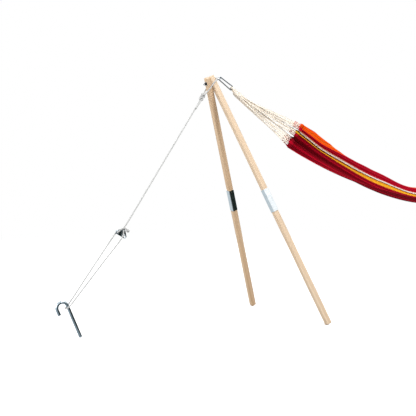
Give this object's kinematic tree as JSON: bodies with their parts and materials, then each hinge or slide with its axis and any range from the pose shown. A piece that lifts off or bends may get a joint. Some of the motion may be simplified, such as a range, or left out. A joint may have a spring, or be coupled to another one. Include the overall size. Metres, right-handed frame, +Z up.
{
  "type": "hammock on stand",
  "caption": "Striped cloth hammock hung by cord fans and snap hooks between two leaning two-legged timber stands, each held by a guy rope and ground peg.",
  "frame": {"origin": "on the ground under the middle of the hammock", "axes": "+X along the hammock from end a to end b, +Y across it, +Z up"},
  "size_m": [6.1022, 0.9632, 1.6403],
  "materials": {
    "pale_wood": "smooth planed, fine lengthwise grain",
    "galvanised_steel": "satin galvanised",
    "zinc_fittings": "bright zinc plating",
    "zinc_rod": "cool bright zinc plating",
    "dark_steel": "dark, slightly worn",
    "white_rope": "braided synthetic rope",
    "cotton_cord": "twisted unbleached cotton",
    "striped_cloth": "woven cotton with lengthwise stripes"
  },
  "bodies": {
    "stands": {"upper_pole_outer_a": "pale_wood", "sleeve_outer_a": "galvanised_steel", "sleeve_screw_outer_a": "zinc_fittings", "eye_bolt_a": "zinc_fittings", "bolt_washers_a": "zinc_fittings", "bolt_nut_a": "dark_steel", "guy_loop_a": "white_rope", "guy_knot_a": "white_rope", "guy_line_a": "white_rope", "ground_peg_a": "zinc_rod", "upper_pole_outer_b": "pale_wood", "sleeve_outer_b": "galvanised_steel", "sleeve_screw_outer_b": "zinc_fittings", "eye_bolt_b": "zinc_fittings", "bolt_washers_b": "zinc_fittings", "bolt_nut_b": "dark_steel", "guy_loop_b": "white_rope", "guy_knot_b": "white_rope", "guy_line_b": "white_rope", "ground_peg_b": "zinc_rod"},
    "inner_leg_a": {"upper_pole_inner_a": "pale_wood", "sleeve_inner_a": "galvanised_steel", "sleeve_screw_inner_a": "zinc_fittings"},
    "lower_leg_outer_a": {"lower_pole_outer_a": "pale_wood"},
    "lower_leg_inner_a": {"lower_pole_inner_a": "pale_wood"},
    "runner_a": {"rope_runner_a": "zinc_fittings", "stopper_knot_a": "white_rope"},
    "gate_a": {"snap_gate_a": "zinc_fittings"},
    "inner_leg_b": {"upper_pole_inner_b": "pale_wood", "sleeve_inner_b": "galvanised_steel", "sleeve_screw_inner_b": "zinc_fittings"},
    "lower_leg_outer_b": {"lower_pole_outer_b": "pale_wood"},
    "lower_leg_inner_b": {"lower_pole_inner_b": "pale_wood"},
    "runner_b": {"rope_runner_b": "zinc_fittings", "stopper_knot_b": "white_rope"},
    "gate_b": {"snap_gate_b": "zinc_fittings"},
    "hammock": {"snap_hook_a": "zinc_fittings", "gate_rivet_a": "zinc_fittings", "cord_eye_a": "cotton_cord", "cord_binding_a": "cotton_cord", "cord_fan_a": "cotton_cord", "snap_hook_b": "zinc_fittings", "gate_rivet_b": "zinc_fittings", "cord_eye_b": "cotton_cord", "cord_binding_b": "cotton_cord", "cord_fan_b": "cotton_cord", "hammock_cloth": "striped_cloth"}
  },
  "joints": [
    {"name": "leg_fold_a", "type": "hinge", "parent": "stands", "child": "inner_leg_a", "pos_m": [-2, 0, 1.59351], "axis": [0.9272, 0, 0.3746], "range_deg": [-3, 25]},
    {"name": "outer_pole_pull_a", "type": "slide", "parent": "stands", "child": "lower_leg_outer_a", "axis": [0.3613, 0.2639, -0.8943], "range_m": [0, 0.07]},
    {"name": "inner_pole_pull_a", "type": "slide", "parent": "inner_leg_a", "child": "lower_leg_inner_a", "axis": [0.3645, -0.231, -0.9021], "range_m": [0, 0.07]},
    {"name": "runner_slide_a", "type": "slide", "parent": "stands", "child": "runner_a", "axis": [0.5476, 0, 0.8368], "range_m": [-0.04, 0.04], "deforming": ["guy_line_a"]},
    {"name": "gate_spring_a", "type": "hinge", "parent": "hammock", "child": "gate_a", "pos_m": [-1.91619, 0, 1.62428], "axis": [0, 1, 0], "range_deg": [0, 11], "stiffness_Nm_per_rad": 0.15, "springref_deg": -17.19},
    {"name": "leg_fold_b", "type": "hinge", "parent": "stands", "child": "inner_leg_b", "pos_m": [2, 0, 1.59351], "axis": [-0.9272, 0, 0.3746], "range_deg": [-3, 25]},
    {"name": "outer_pole_pull_b", "type": "slide", "parent": "stands", "child": "lower_leg_outer_b", "axis": [-0.3613, -0.2639, -0.8943], "range_m": [0, 0.07]},
    {"name": "inner_pole_pull_b", "type": "slide", "parent": "inner_leg_b", "child": "lower_leg_inner_b", "axis": [-0.3645, 0.231, -0.9021], "range_m": [0, 0.07]},
    {"name": "runner_slide_b", "type": "slide", "parent": "stands", "child": "runner_b", "axis": [-0.5476, 0, 0.8368], "range_m": [-0.04, 0.04], "deforming": ["guy_line_b"]},
    {"name": "gate_spring_b", "type": "hinge", "parent": "hammock", "child": "gate_b", "pos_m": [1.91619, 0, 1.62428], "axis": [0, -1, 0], "range_deg": [0, 11], "stiffness_Nm_per_rad": 0.15, "springref_deg": -17.19},
    {"name": "hammock_swing", "type": "hinge", "parent": "stands", "child": "hammock", "pos_m": [0, 0, 1.62141], "axis": [1, 0, 0], "range_deg": [-20, 20]}
  ]
}
